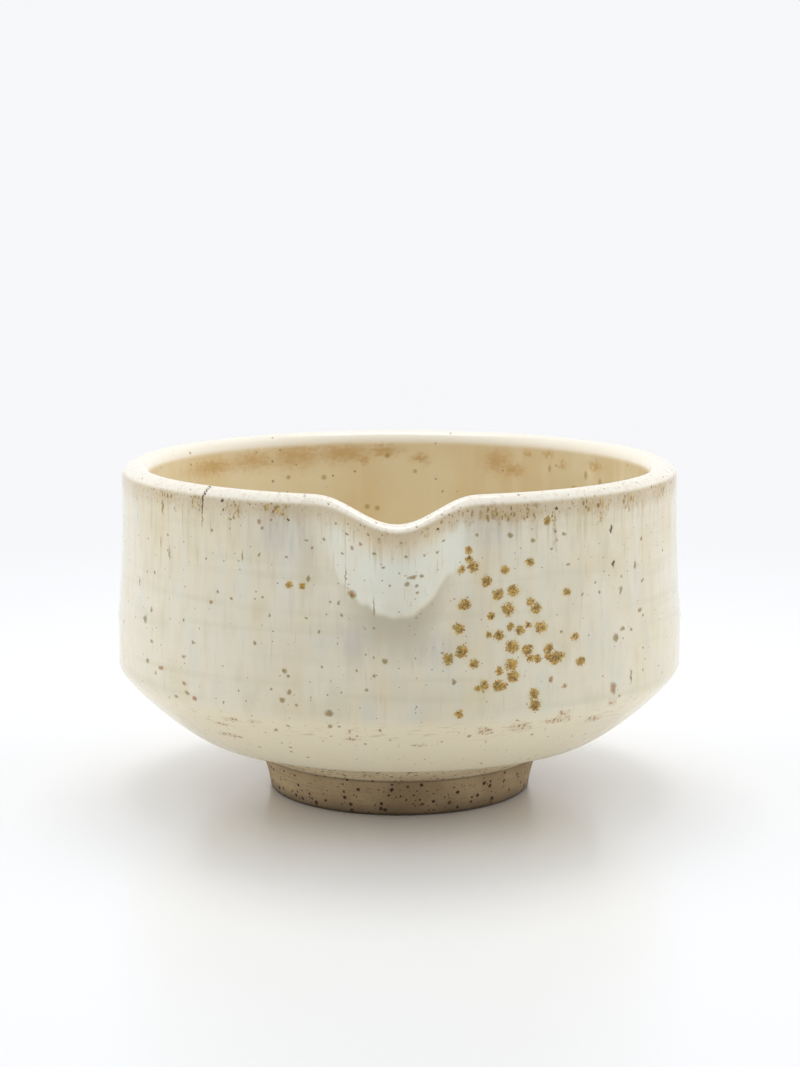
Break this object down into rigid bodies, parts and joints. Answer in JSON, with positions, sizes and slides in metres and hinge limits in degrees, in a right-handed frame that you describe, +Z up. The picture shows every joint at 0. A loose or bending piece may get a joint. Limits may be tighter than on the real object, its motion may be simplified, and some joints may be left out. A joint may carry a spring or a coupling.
{
  "type": "tea bowl",
  "caption": "Spouted tea bowl in wheel-thrown stoneware, with a turned foot ring and a cream glaze over a bare clay foot.",
  "frame": {"origin": "on the table, in the middle of the bowl's length and width; the wheel's axis stands 2.6 mm behind it, towards +Y", "axes": "+Z up out of the bowl, -Y out through the spout, +X to the right as the spout faces the viewer"},
  "size_m": [0.125, 0.1301, 0.0734],
  "materials": {
    "bare_clay": "unglazed stoneware, smooth turned, with dark iron specks",
    "foot_clay": "unglazed stoneware, turned, with dark iron specks",
    "outer_glaze": "glossy cream glaze with running streaks, a tan breaking rim and ochre iron crystals",
    "liner_glaze": "glossy warm cream glaze with ochre patches under the rim"
  },
  "bodies": {
    "root": {"stoneware_body": "bare_clay", "foot_ring": "foot_clay", "outside_glaze": "outer_glaze", "inside_glaze": "liner_glaze"}
  },
  "joints": []
}
